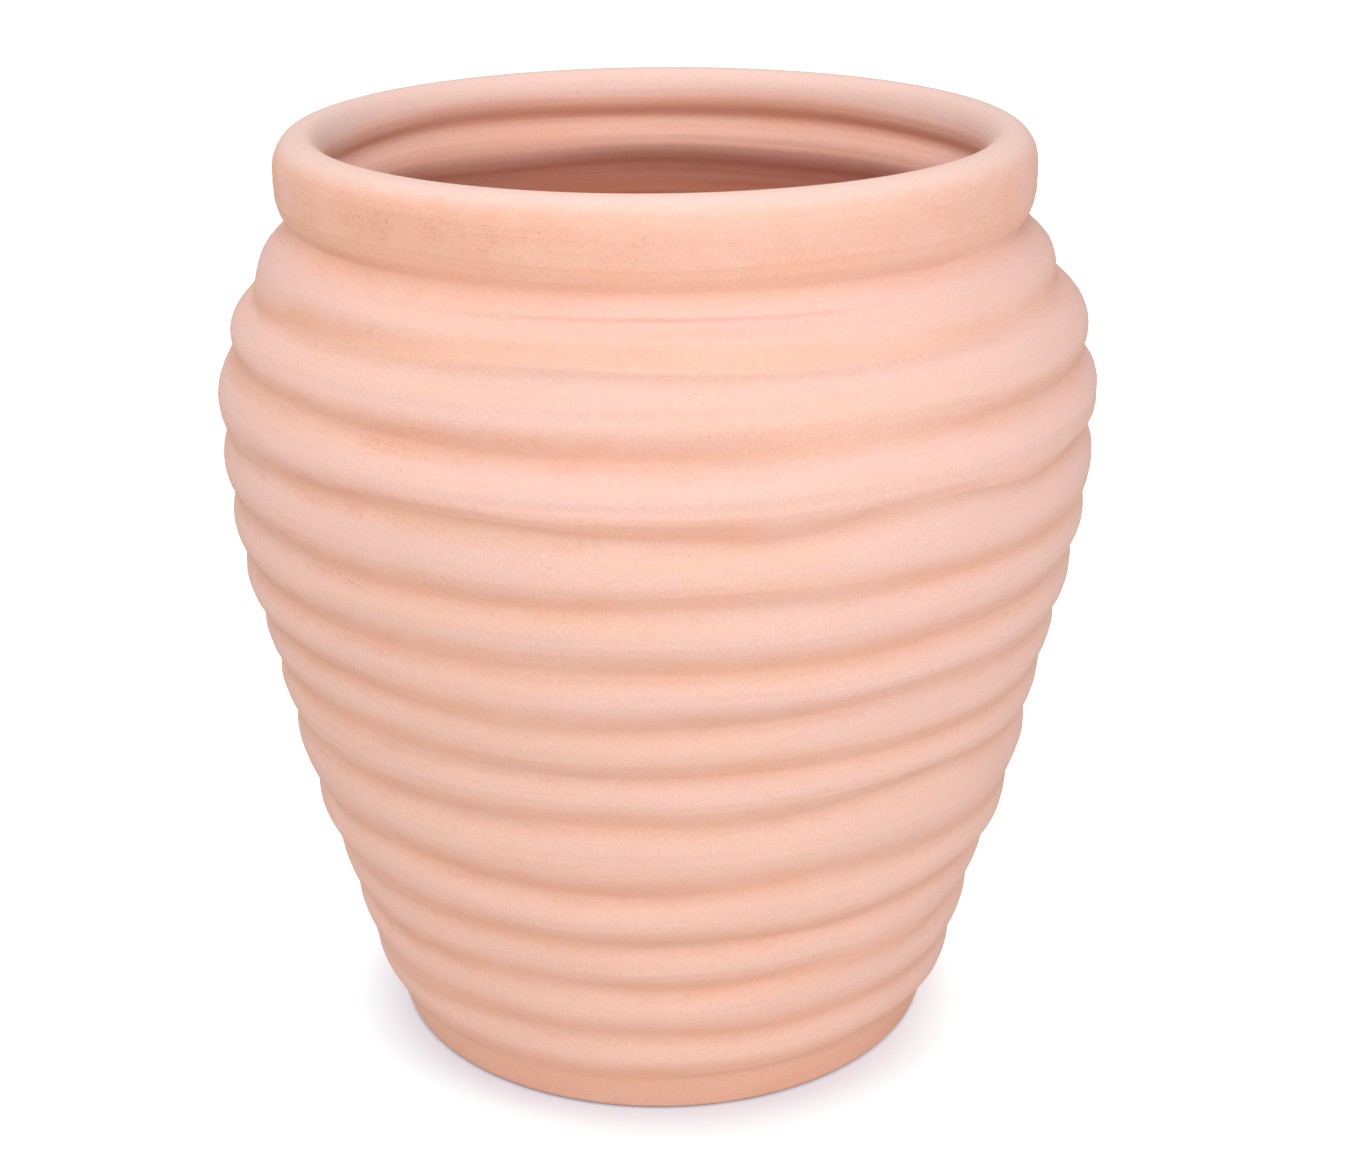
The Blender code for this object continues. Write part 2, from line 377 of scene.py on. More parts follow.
def collar_skin():
    """The rolled collar, from the neck's groove up its face, over the crest and down to the ridge inside."""
    turn = np.linspace(0, math.pi / 2, 160)
    face_low = NECK_HEIGHT + COLLAR_UNDERCUT
    face_high = face_low + COLLAR_FACE
    under_radius = mix(NECK_RADIUS, COLLAR_RADIUS, np.sin(turn) ** UNDERCUT_ROUND)
    under_height = mix(face_low, NECK_HEIGHT, np.clip(np.cos(turn), 0, 1) ** UNDERCUT_ROUND)
    # The groove mask paints shade in the neck's groove
    under = rows(
        under_radius,
        under_height,
        NECK_SOFT,
        orange=0.95,
        groove=0.7 * bump(NECK_HEIGHT, 0.004, under_height),
        dip=SHOULDER_RIBS[-1][1] * (1 - np.sin(turn)),
    )
    face_height = np.linspace(face_low, face_high, 40)
    face = rows(
        COLLAR_RADIUS,
        face_height,
        mix(NECK_SOFT, COLLAR_SOFT, smoothstep(face_low, face_low + 0.005, face_height)),
        orange=0.75,
        fleck=0.9,
    )
    crown_radius = mix(CREST_RADIUS, COLLAR_RADIUS, np.sin(turn) ** COLLAR_ROUND)[::-1]
    crown_height = mix(face_high, TOP_HEIGHT, np.cos(turn) ** COLLAR_ROUND)[::-1]
    pale = np.clip((crown_height - face_high) / (TOP_HEIGHT - face_high), 0, 1)
    crown = rows(
        crown_radius,
        crown_height,
        COLLAR_SOFT,
        orange=0.75 * (1 - pale) ** 0.5,
        fleck=0.9 * (1 - pale),
        pale=pale,
    )
    lip_height = TOP_HEIGHT - LIP_DROP
    recess_height = NECK_HEIGHT + RECESS_HEIGHT
    roll_radius = mix(CREST_RADIUS, LIP_RADIUS, np.sin(turn) ** COLLAR_ROUND)
    roll_height = mix(lip_height, TOP_HEIGHT, np.cos(turn) ** COLLAR_ROUND)
    depth = (TOP_HEIGHT - roll_height) / LIP_DROP
    # Down the inner roll the pale gives way to orange and the inside's red: partly the clay's own colours,
    # partly painted shade where the roll turns under
    roll = rows(
        roll_radius,
        roll_height,
        COLLAR_SOFT,
        pale=1 - 0.8 * smoothstep(0.4, 1.0, depth),
        orange=0.6 * smoothstep(0.6, 1.0, depth),
        inside=0.3 * smoothstep(0.7, 1.0, depth),
    )
    swing = np.linspace(0, math.pi, 120)
    # In the recess under the lip and at the top of the fall below it, the orange, the inside's red and the
    # groove mask paint shade and light bounced in the recess
    tuck = rows(
        mix(LIP_RADIUS, RECESS_RADIUS, (1 - np.cos(swing)) / 2),
        np.linspace(lip_height, recess_height, 120),
        mix(COLLAR_SOFT, RECESS_SOFT, swing / math.pi),
        orange=mix(0.5, 0.9, swing / math.pi),
        inside=0.25,
        groove=0.6 * bump(1.0, 0.45, swing / math.pi),
    )
    ridge_radius = NECK_RADIUS - WALL
    fall = rows(
        mix(RECESS_RADIUS, ridge_radius, (1 - np.cos(swing)) / 2),
        np.linspace(recess_height, NECK_HEIGHT, 120),
        mix(RECESS_SOFT, RIDGE_SOFT, smoothstep(0.1, 0.6, swing / math.pi)),
        orange=0.6,
        inside=0.15 * smoothstep(0.6, 1.0, swing / math.pi),
        groove=0.6 * bump(0.0, 0.2, swing / math.pi),
    )
    return np.concatenate([under, face, crown, roll, tuck, fall])


def floor_skin():
    """From the wall's foot, round the soft corner, over the floor and down the drain."""
    wall = SLAB_TOP_RADIUS - WALL
    turn = np.linspace(0, math.pi / 2, 40)
    corner_radius = wall - FLOOR_FILLET * (1 - np.cos(turn))
    corner_height = FLOOR_HEIGHT + FLOOR_FILLET * (1 - np.sin(turn))
    corner = rows(corner_radius, corner_height, EDGE_SOFT, inside=1.0)
    floor = line((corner_radius[-1], FLOOR_HEIGHT), (DRAIN_RADIUS, FLOOR_HEIGHT), EDGE_SOFT, inside=1.0)
    drain = line((DRAIN_RADIUS, FLOOR_HEIGHT), (DRAIN_RADIUS, 0), EDGE_SOFT, inside=0.7)
    return corner, floor, drain


def smoothed(values, spread):
    """The values averaged over the rows within spread of each one, round the closed outline."""
    box = np.ones(2 * spread + 1) / (2 * spread + 1)
    return np.convolve(np.pad(values, spread, mode="wrap"), box, "valid")


def soften(outline):
    """Rounds every edge of the closed outline, as wet hands do, each row by its own softness."""
    versions = []
    for softness in SOFT_STEPS:
        reach = int(4 * softness / DENSE)
        kernel = np.exp(-0.5 * (np.arange(-reach, reach + 1) * DENSE / softness) ** 2)
        kernel /= kernel.sum()
        wrapped = np.concatenate([outline[-reach:, :2], outline[:, :2], outline[:reach, :2]])
        versions.append(np.stack([np.convolve(column, kernel, "valid") for column in wrapped.T], axis=1))
    versions = np.stack(versions)
    step = np.interp(smoothed(outline[:, SOFT], SOFT_SPREAD), SOFT_STEPS, np.arange(len(SOFT_STEPS)))
    below = np.minimum(step.astype(int), len(SOFT_STEPS) - 2)
    share = (step - below)[:, None]
    each = np.arange(len(outline))
    eased = outline.copy()
    eased[:, :2] = mix(versions[below, each], versions[below + 1, each], share)
    return eased


def respace(stretch, step):
    """The stretch with its rows evenly spaced along it. Its two ends stay."""
    along = np.concatenate([[0], np.cumsum(np.hypot(*np.diff(stretch[:, :2], axis=0).T))])
    wanted = np.linspace(0, along[-1], max(2, round(along[-1] / step) + 1))
    return np.stack([np.interp(wanted, along, column) for column in stretch.T], axis=1)


def build_skin():
    """The whole closed outline as named stretches, each an array of rows."""
    corner, floor, drain = floor_skin()
    parts = [
        ("slab_out", slab_outside(), OUTER_STEP),
        ("lower_out", outer_ribs(LOWER_RIBS, SLAB_HEIGHT), OUTER_STEP),
        ("middle_out", outer_ribs(MIDDLE_RIBS, MIDDLE_SEAT), OUTER_STEP),
        ("shoulder_out", outer_ribs(SHOULDER_RIBS, SHOULDER_SEAT), OUTER_STEP),
        ("collar", collar_skin(), RIM_STEP),
        ("shoulder_in", inner_ribs(SHOULDER_RIBS, SHOULDER_SEAT), INNER_STEP),
        ("middle_in", inner_ribs(MIDDLE_RIBS, MIDDLE_SEAT), INNER_STEP),
        ("lower_in", np.concatenate([inner_ribs(LOWER_RIBS, SLAB_HEIGHT), corner]), INNER_STEP),
        ("slab_in", np.concatenate([floor, drain]), INNER_STEP),
    ]
    for name, stretch, _ in parts:
        if name in ("collar", "shoulder_in"):
            inward = stretch[:, RADIUS] < RECESS_RADIUS
            stretch[:, HEIGHT] -= RIDGE_SAG * inward * bump(NECK_HEIGHT, RIDGE_TALL, stretch[:, HEIGHT])
    dense = [respace(stretch, DENSE)[:-1] for _, stretch, _ in parts]
    outline = soften(np.concatenate(dense))
    outline[:, DIP] = smoothed(outline[:, DIP], DIP_SPREAD)
    made = {}
    start = 0
    for (name, _, step), piece in zip(parts, dense):
        stop = start + len(piece)
        closed = np.concatenate([outline[start:stop], outline[stop % len(outline)][None]])
        made[name] = respace(closed, step)
        start = stop
    return made


def waves(rng, theta, height, count, turns, rise):
    """Sum of random waves round the pot and up it, about 1 high. It closes on itself round the pot."""
    total = np.zeros(np.broadcast(theta, height).shape)
    for _ in range(count):
        turn = rng.integers(turns[0], turns[1] + 1)
        lean = rng.uniform(-1, 1) / rise
        total += np.cos(turn * theta + 2 * math.pi * height * lean + rng.uniform(0, 2 * math.pi))
    return total / math.sqrt(count / 2)


def throwing(rng, theta, height, count, shortest, longest):
    """Fine ridges that fingers leave, level round the pot, coming and going."""
    total = np.zeros(np.broadcast(theta, height).shape)
    for _ in range(count):
        pitch = rng.uniform(shortest, longest)
        drift = rng.uniform(0.3, 1.2) * np.cos(rng.integers(1, 3) * theta + rng.uniform(0, 2 * math.pi))
        strength = 0.5 + 0.5 * np.cos(
            rng.integers(1, 6) * theta + rng.uniform(0, 2 * math.pi) + height * rng.uniform(20, 90)
        )
        total += strength * np.cos(2 * math.pi * height / pitch + drift + rng.uniform(0, 2 * math.pi))
    return total / math.sqrt(count / 2)


def dents(rng, theta, height):
    """Shallow thumb marks and knocks on the outside."""
    total = np.zeros(np.broadcast(theta, height).shape)
    for _ in range(DENTS):
        middle = rng.uniform(-math.pi, math.pi)
        level = rng.uniform(*DENT_LEVELS)
        wide = rng.uniform(*DENT_WIDTHS)
        tall = wide * rng.uniform(*DENT_FLATNESS)
        deep = rng.uniform(*DENT_DEPTHS)
        across = np.angle(np.exp(1j * (theta - middle))) * girth(level)
        total -= deep * np.exp(-((across / wide) ** 2) - ((height - level) / tall) ** 2)
    return total


def groove_fill(rng, theta, height):
    """How far clay fills the grooves back up, from 0 to 1. It is most where ribs ran together."""
    fill = np.clip(GROOVE_FILL * (0.6 + waves(rng, theta, height, 14, (1, 6), 0.05)), 0, FILL_MOST)
    for turn, level, wide, share in RUN_TOGETHER:
        fill = np.maximum(fill, share * patch(theta, height, turn, level, wide, FILL_TALL))
    return fill


def patch(theta, height, turn, level, wide, tall):
    """1 at a place on the skin, fading to 0 round it."""
    across = np.angle(np.exp(1j * (theta - turn))) / wide
    return np.exp(-(across**2) - ((height - level) / tall) ** 2)


def skin_normals(stretches):
    """Each row's normal in the outline's plane, with the outline taken as one closed curve."""
    names = list(stretches)
    whole = np.concatenate([stretches[name][:-1, :2] for name in names])
    ahead = np.roll(whole, -1, axis=0) - whole
    behind = whole - np.roll(whole, 1, axis=0)
    ahead /= np.linalg.norm(ahead, axis=1)[:, None]
    behind /= np.linalg.norm(behind, axis=1)[:, None]
    run = ahead + behind
    run /= np.linalg.norm(run, axis=1)[:, None]
    normals = np.stack([run[:, 1], -run[:, 0]], axis=1)
    found = {}
    start = 0
    for name in names:
        stop = start + len(stretches[name]) - 1
        found[name] = np.concatenate([normals[start:stop], normals[stop % len(whole)][None]])
        start = stop
    return found


def worked_surface(stretches):
    """Places every point of the skin, uneven as hands leave it, and finds the normals of the surface.

    Gives each stretch's points and normals as arrays of (rows, RING, 3), and how far each point's groove is
    filled.
    """
    names = list(stretches)
    lengths = [len(stretches[name]) - 1 for name in names]
    whole = np.concatenate([stretches[name][:-1] for name in names])
    flat_normals = np.concatenate([value[:-1] for value in skin_normals(stretches).values()])
    theta = (np.arange(RING) * 2 * math.pi / RING)[None]
    radius = whole[:, RADIUS][:, None]
    height = whole[:, HEIGHT][:, None]
    inside = whole[:, INSIDE][:, None]
    rng = np.random.default_rng(SEED)
    body = smoothstep(0.0, FOOT_FADE, height) * (1 - smoothstep(TOP_HEIGHT - TOP_FADE, TOP_HEIGHT, height))
    round_error = OUT_OF_ROUND * waves(rng, theta, height, 7, (2, 5), 0.30)
    wander = GROOVE_WANDER * waves(rng, theta, height, 12, (1, 7), 0.09)
    fullness = RIB_UNEVEN * waves(rng, theta, height, 12, (2, 11), 0.07)
    outer_lines = THROW_OUT * throwing(rng, theta, height, 14, *PITCH_OUT)
    inner_lines = THROW_IN * throwing(rng, theta, height, 12, *PITCH_IN)
    knocks = dents(rng, theta, height)
    rise = np.clip(radius - girth(height), 0, RIB_STAND) * (1 - inside)
    fill = groove_fill(rng, theta, height) * (1 - inside)
    filled = fill * whole[:, DIP][:, None]
    shaped = np.zeros_like(wander)
    for turn, level, wide, swell in FULLNESS:
        shaped += swell * patch(theta, height, turn, level, wide, FULL_TALL)
    for turn, level, wide, deep, tall in CREASES:
        filled = filled - (1 - inside) * deep * patch(theta, height, turn, level, wide, tall)
    for turn, level, wide, lift in STRAYS:
        wander = wander + (1 - inside) * lift * patch(theta, height, turn, level, wide, STRAY_TALL)
    shaped += outer_lines + knocks + rise * np.clip(fullness, -UNEVEN_MOST, 0.0)
    out = (1 - inside) * shaped + inside * inner_lines
    out = out * body
    push = (np.clip(round_error, *ROUND_LIMITS) + filled) * body
    r = radius + out * flat_normals[:, 0][:, None] + push
    z = height + out * flat_normals[:, 1][:, None] + wander * body
    r = np.minimum(r, cad_high.x - SIDE_MARGIN)
    z = np.clip(z, cad_low.z, cad_high.z - TOP_MARGIN)
    points = np.stack([r * np.cos(theta), r * np.sin(theta), z], axis=2)
    along = np.roll(points, -1, axis=0) - np.roll(points, 1, axis=0)
    across = np.roll(points, -1, axis=1) - np.roll(points, 1, axis=1)
    normals = np.cross(across, along)
    normals /= np.linalg.norm(normals, axis=2)[:, :, None]
    found = {}
    start = 0
    for name, length in zip(names, lengths):
        picked = np.arange(start, start + length + 1) % len(whole)
        found[name] = (points[picked], normals[picked], fill[picked])
        start += length
    return found


def joint_rows(outer_ring, inner_ring, height):
    """Rings across a luted joint, from its outer edge to its inner edge, with the tongue between them."""
    shares = ((1 - TONGUE_FOOT) / 2, (1 - TONGUE_TIP) / 2, (1 + TONGUE_TIP) / 2, (1 + TONGUE_FOOT) / 2)
    lifts = (0.0, TONGUE_HEIGHT, TONGUE_HEIGHT, 0.0)
    made = []
    for share, lift in zip(shares, lifts):
        ring = mix(outer_ring, inner_ring, share)
        ring[:, 2] = height + lift
        made.append(ring)
    return np.stack(made)


def ring_piece(name, node, loops, material):
    """A closed piece from loops of points, normals, fill and masks, each going on from the one before."""
    points = np.concatenate([loop[0] for loop in loops])
    normals = np.concatenate([loop[1] for loop in loops])
    fill = np.concatenate([loop[2] for loop in loops])
    masks = np.concatenate([loop[3] for loop in loops])
    count = len(points)
    grid = np.arange(count * RING).reshape(count, RING)
    up = np.roll(grid, -1, axis=0)
    corners = np.stack([grid, np.roll(grid, -1, axis=1), np.roll(up, -1, axis=1), up], axis=2).reshape(-1, 4)
    mesh = bpy.data.meshes.new(name)
    mesh.vertices.add(count * RING)
    mesh.vertices.foreach_set("co", points.astype(np.float32).ravel())
    mesh.loops.add(corners.size)
    mesh.loops.foreach_set("vertex_index", corners.astype(np.int32).ravel())
    mesh.polygons.add(len(corners))
    mesh.polygons.foreach_set("loop_start", np.arange(0, corners.size, 4, dtype=np.int32))
    mesh.update(calc_edges=True)
    mesh.validate()
    mesh.shade_smooth()
    mesh.normals_split_custom_set_from_vertices(normals.reshape(-1, 3).tolist())
    for mask, column in MASKS.items():
        layer = mesh.attributes.new(mask, "FLOAT", "POINT")
        values = np.repeat(masks[:, column], RING)
        if column in PAINT_FILL:
            values = values * (1 - PAINT_FILL[column] * fill.ravel())
        layer.data.foreach_set("value", values.astype(np.float32))
    mesh.materials.append(material)
    piece = bpy.data.objects.new(name, mesh)
    bpy.context.scene.collection.objects.link(piece)
    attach(piece, "root")
    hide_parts(node)
    return piece


def skin_loop(stretches, surface, name):
    """A stretch of the skin as a loop of points, normals, fill and masks."""
    return *surface[name], stretches[name]


def joint_loop(surface, outer_name, inner_name, height, upwards):
    """The face at a joint, between the outside's stretch and the inside's.

    The upward face closes the ring below the joint and runs inwards. The other closes the piece above it and
    runs outwards.
    """
    outer_ring = surface[outer_name][0][-1]
    inner_ring = surface[inner_name][0][0]
    points = joint_rows(outer_ring, inner_ring, height)
    normals = np.zeros_like(points)
    normals[:, :, 2] = 1.0 if upwards else -1.0
    masks = np.zeros((len(points), COLUMNS))
    masks[:, INSIDE] = 1.0
    if not upwards:
        points = points[::-1]
    return points, normals, np.zeros(points.shape[:2]), masks


class Paint:
    """A material, built one node at a time. Each method but plug gives its node's output."""

    def __init__(self, name):
        self.material = bpy.data.materials.new(name)
        self.material.use_nodes = True
        self.nodes = self.material.node_tree.nodes
        self.links = self.material.node_tree.links
        self.shader = self.nodes["Principled BSDF"]

    def plug(self, socket, value):
        if isinstance(value, bpy.types.NodeSocket):
            self.links.new(value, socket)
        else:
            socket.default_value = value

    def place(self):
        return self.nodes.new("ShaderNodeTexCoord").outputs["Object"]

    def stretched(self, scale):
        node = self.nodes.new("ShaderNodeMapping")
        node.inputs["Scale"].default_value = scale
        self.links.new(self.place(), node.inputs["Vector"])
        return node.outputs["Vector"]

    def place_along(self, axis):
        node = self.nodes.new("ShaderNodeSeparateXYZ")
        self.links.new(self.place(), node.inputs["Vector"])
        return node.outputs[axis]

    def away(self, vector, centre):
        node = self.nodes.new("ShaderNodeVectorMath")
        node.operation = "DISTANCE"
        self.links.new(vector, node.inputs[0])
        node.inputs[1].default_value = centre
        return node.outputs["Value"]

    def mask(self, name):
        node = self.nodes.new("ShaderNodeAttribute")
        node.attribute_name = name
        return node.outputs["Fac"]

    def noise(self, vector, scale, detail=2.0, roughness=0.5, distortion=0.0):
        node = self.nodes.new("ShaderNodeTexNoise")
        node.inputs["Scale"].default_value = scale
        node.inputs["Detail"].default_value = detail
        node.inputs["Roughness"].default_value = roughness
        node.inputs["Distortion"].default_value = distortion
        self.links.new(vector, node.inputs["Vector"])
        return node.outputs["Fac"]

    def spots(self, vector, scale, size):
        """1 in small round spots and 0 between them."""
        node = self.nodes.new("ShaderNodeTexVoronoi")
        node.inputs["Scale"].default_value = scale
        self.links.new(vector, node.inputs["Vector"])
        return self.remap(node.outputs["Distance"], size, size * 0.35, 0.0, 1.0)

    def remap(self, value, low, high, to_low, to_high):
        node = self.nodes.new("ShaderNodeMapRange")
        node.interpolation_type = "SMOOTHSTEP"
        for socket, setting in zip(node.inputs, (value, low, high, to_low, to_high)):
            self.plug(socket, setting)
        return node.outputs["Result"]

    def math(self, operation, a, b=0.0, clamp=False, third=0.0):
        node = self.nodes.new("ShaderNodeMath")
        node.operation = operation
        node.use_clamp = clamp
        for socket, setting in zip(node.inputs, (a, b, third)):
            self.plug(socket, setting)
        return node.outputs["Value"]

    def blend(self, under, over, share, mode="MIX"):
        node = self.nodes.new("ShaderNodeMix")
        node.data_type = "RGBA"
        node.blend_type = mode
        node.clamp_factor = True
        self.plug(node.inputs["Factor"], share)
        self.plug(node.inputs["A"], under if isinstance(under, bpy.types.NodeSocket) else (*under, 1))
        self.plug(node.inputs["B"], over if isinstance(over, bpy.types.NodeSocket) else (*over, 1))
        return node.outputs["Result"]


# Linear colours of the fired clay, and of the shade painted on it
PEACH = (0.895, 0.558, 0.448)
ROSE = (0.885, 0.570, 0.500)
ORANGE_CLAY = (0.890, 0.478, 0.338)
# Dark orange of the grooves: partly the clay's own flashing, partly painted shade and bounced light
FLASH_AND_SHADE = (0.840, 0.410, 0.265)
RUST = (0.760, 0.345, 0.210)
LILAC = (0.835, 0.540, 0.475)
CHALK = (0.905, 0.640, 0.572)
# Painted shade for the grooves, the neck's groove and the recess under the lip
SHADE = (0.700, 0.430, 0.330)
UMBER = (0.640, 0.360, 0.240)
# The inside's deep red-brown: partly the clay's own colour, partly painted shade and bounced light in the
# pot
INNER_RED = (0.705, 0.258, 0.124)
SPECK = (0.620, 0.280, 0.160)
GRAIN_DARK = (0.965, 0.915, 0.870)
GRAIN_LIGHT = (1.020, 1.050, 1.070)
PALE_GREY = (0.850, 0.680, 0.640)

# The side that the fire flushed a stronger orange, seen from above
FLUSH_PLACE = (-0.13, -0.165, 0)
# A pale grey patch inside the roll of the rim, on its left
PALE_PATCH_PLACE = (-0.181, 0.040, 0.522)

# How fine the clay's patterns are, and how many times flatter than wide the level ones and the streaks are
CLOUD_SCALE = 5.0
PATCH_SCALE = 9.0
STREAK_SCALE = 11.0
BLOT_SCALE = 42.0
MOTTLE_SCALE = 120.0
WORM_SCALE = 520.0
GRAIN_SCALE = 900.0
DOT_SCALE = 190.0
SPECK_SCALE = 95.0
LEVEL_FLATNESS = 9.0
STREAK_FLATNESS = 26.0

# How much of each colour shows where its mask is full
FIRED_SHARE = 0.48
BLOOM_AND_SHADE_SHARE = 0.75
SHADE_SHARE = 0.38
FLASH_AND_SHADE_SHARE = 0.45
FOOT_SHARE = 0.20
CHALK_SHARE = 0.85
PALE_PATCH_SHARE = 0.50
SPECK_SHARE = 0.5
# How strongly the fine grain tilts the surface, and how deep it is
GRIT_STRENGTH = 0.22
GRIT_DEPTH = 0.0006


def terracotta(name):
    """Fired, unglazed clay: peach, orange by the grooves, a pale bloom on the ribs, grain and streaks;
    painted shade in the grooves, recess and inside.
    """
    paint = Paint(name)
    place = paint.place()
    level = paint.stretched((1.0, 1.0, LEVEL_FLATNESS))
    streaky = paint.stretched((1.0, 1.0, STREAK_FLATNESS))

    clouds = paint.noise(level, CLOUD_SCALE, 4.0, 0.55)
    patches = paint.noise(place, PATCH_SCALE, 3.0, 0.5)
    groove_patches = paint.noise(level, PATCH_SCALE, 3.0, 0.55)
    streaks = paint.noise(streaky, STREAK_SCALE, 4.0, 0.6)
    grain = paint.noise(place, GRAIN_SCALE, 2.0, 0.6, 0.8)
    worms = paint.noise(place, WORM_SCALE, 2.0, 0.5, 2.4)
    mottle = paint.noise(place, MOTTLE_SCALE, 3.0, 0.55)
    blots = paint.noise(place, BLOT_SCALE, 4.0, 0.6)

    side = paint.place_along("X")
    height = paint.place_along("Z")
    flush = paint.away(paint.stretched((1, 1, 0)), FLUSH_PLACE)
    fired = paint.math("MULTIPLY_ADD", clouds, 0.12, third=flush)
    fired = paint.remap(fired, 0.10, 0.20, 1.0, 0.0)
    fired = paint.math("MULTIPLY", fired, paint.remap(height, 0.465, 0.492, 0.15, 1.0))

    rosy = paint.remap(clouds, 0.36, 0.60, 0.0, 1.0)
    rosy = paint.math("MULTIPLY", rosy, paint.remap(height, 0.08, 0.42, 0.2, 1.0))
    rosy = paint.math("MULTIPLY", rosy, paint.remap(fired, 0.0, 1.0, 1.0, 0.3))
    rosy = paint.math("ADD", rosy, paint.remap(side, 0.03, 0.17, 0.0, 0.35), True)
    colour = paint.blend(PEACH, ROSE, rosy)

    tint = paint.math("MULTIPLY", paint.mask("orange"), paint.remap(patches, 0.30, 0.62, 0.55, 1.0))
    tint = paint.math("ADD", tint, paint.remap(streaks, 0.52, 0.80, 0.0, 0.35), True)
    tint = paint.math("ADD", tint, paint.math("MULTIPLY", fired, FIRED_SHARE), True)
    rough_tint = paint.math("MULTIPLY", tint, paint.remap(worms, 0.38, 0.58, 0.90, 1.0))
    rough_tint = paint.math("MULTIPLY", rough_tint, paint.remap(blots, 0.35, 0.58, 0.80, 1.0))
    colour = paint.blend(colour, ORANGE_CLAY, rough_tint)

    # The lilac bloom across the ribs: partly the clay's own, partly painted shade of their shallow creases
    bloom = paint.math("MULTIPLY", paint.mask("bloom"), paint.remap(streaks, 0.30, 0.65, 1.0, 0.35))
    colour = paint.blend(colour, LILAC, paint.math("MULTIPLY", bloom, BLOOM_AND_SHADE_SHARE))

    # Painted shade in the grooves, the neck's groove and the recess, where the orange patches don't cover it
    groove = paint.math("MULTIPLY", paint.mask("groove"), paint.remap(groove_patches, 0.40, 0.60, 1.0, 0.1))
    colour = paint.blend(colour, SHADE, paint.math("MULTIPLY", groove, SHADE_SHARE))
    # Dark orange patches in the grooves: partly the clay's own flashing, partly painted shade and bounced
    # light
    flash_and_shade = paint.math("MULTIPLY", paint.mask("groove"), paint.remap(groove_patches, 0.42, 0.62, 0.0, 1.0))
    flash_and_shade = paint.math("MULTIPLY", flash_and_shade, paint.remap(worms, 0.30, 0.60, 0.7, 1.0))
    colour = paint.blend(colour, FLASH_AND_SHADE, paint.math("MULTIPLY", flash_and_shade, FLASH_AND_SHADE_SHARE))

    left = paint.remap(side, -0.20, 0.05, 1.0, 0.45)
    fleck = paint.math("MULTIPLY", paint.mask("fleck"), paint.remap(worms, 0.47, 0.62, 0.0, 0.85))
    fleck = paint.math("MULTIPLY", fleck, paint.remap(blots, 0.36, 0.66, 0.0, 1.0))
    fleck = paint.math("MULTIPLY", fleck, paint.math("MAXIMUM", fired, left))
    colour = paint.blend(colour, RUST, fleck)

    colour = paint.blend(colour, UMBER, paint.math("MULTIPLY", paint.mask("foot"), FOOT_SHARE))
    # The inside's red: partly the clay's own colour, partly painted shade and bounced light
    deep = paint.math("MULTIPLY", paint.mask("inside"), paint.remap(streaks, 0.35, 0.65, 0.75, 1.0))
    colour = paint.blend(colour, INNER_RED, deep)

    edge = paint.math("MULTIPLY_ADD", paint.math("SUBTRACT", mottle, 0.5), 0.35, third=paint.mask("pale"))
    chalky = paint.remap(edge, 0.50, 0.95, 0.0, 1.0)
    colour = paint.blend(colour, CHALK, paint.math("MULTIPLY", chalky, CHALK_SHARE))

    # A pale grey patch inside the roll of the rim, at its left
    pale_patch = paint.remap(paint.away(place, PALE_PATCH_PLACE), 0.008, 0.028, 1.0, 0.0)
    pale_patch = paint.math("MULTIPLY", pale_patch, paint.remap(blots, 0.30, 0.62, 0.35, 1.0))
    colour = paint.blend(colour, PALE_GREY, paint.math("MULTIPLY", pale_patch, PALE_PATCH_SHARE))

    fine = paint.blend(GRAIN_DARK, GRAIN_LIGHT, paint.remap(grain, 0.30, 0.70, 0.0, 1.0))
    colour = paint.blend(colour, fine, 1.0, "MULTIPLY")
    dots = paint.spots(place, DOT_SCALE, 0.10)
    dots = paint.math("MULTIPLY", dots, paint.remap(blots, 0.48, 0.66, 0.0, 0.55))
    colour = paint.blend(colour, RUST, dots)
    specks = paint.math("MULTIPLY", paint.spots(place, SPECK_SCALE, 0.07), SPECK_SHARE)
    colour = paint.blend(colour, SPECK, specks)
    paint.plug(paint.shader.inputs["Base Color"], colour)

    paint.plug(paint.shader.inputs["Roughness"], paint.remap(mottle, 0.3, 0.7, 0.80, 0.94))
    paint.shader.inputs["Specular IOR Level"].default_value = 0.35
    paint.shader.inputs["Sheen Weight"].default_value = 0.08
    paint.shader.inputs["Sheen Roughness"].default_value = 0.6

    relief = paint.math("MULTIPLY", grain, 0.5)
    relief = paint.math("ADD", relief, paint.math("MULTIPLY", worms, 0.3))
    relief = paint.math("ADD", relief, paint.math("MULTIPLY", streaks, 0.9))
    grit = paint.nodes.new("ShaderNodeBump")
    grit.inputs["Strength"].default_value = GRIT_STRENGTH
    grit.inputs["Distance"].default_value = GRIT_DEPTH
    paint.links.new(relief, grit.inputs["Height"])
    paint.links.new(grit.outputs["Normal"], paint.shader.inputs["Normal"])
    return paint.material


# Each ring of clay under the collar, going up: its node, outside, inside and the height of the joint on it
RINGS = (
    ("base_slab", "slab_out", "slab_in", SLAB_HEIGHT),
    ("lower_wall", "lower_out", "lower_in", MIDDLE_SEAT),
    ("middle_wall", "middle_out", "middle_in", SHOULDER_SEAT),
    ("shoulder_wall", "shoulder_out", "shoulder_in", NECK_HEIGHT),
)


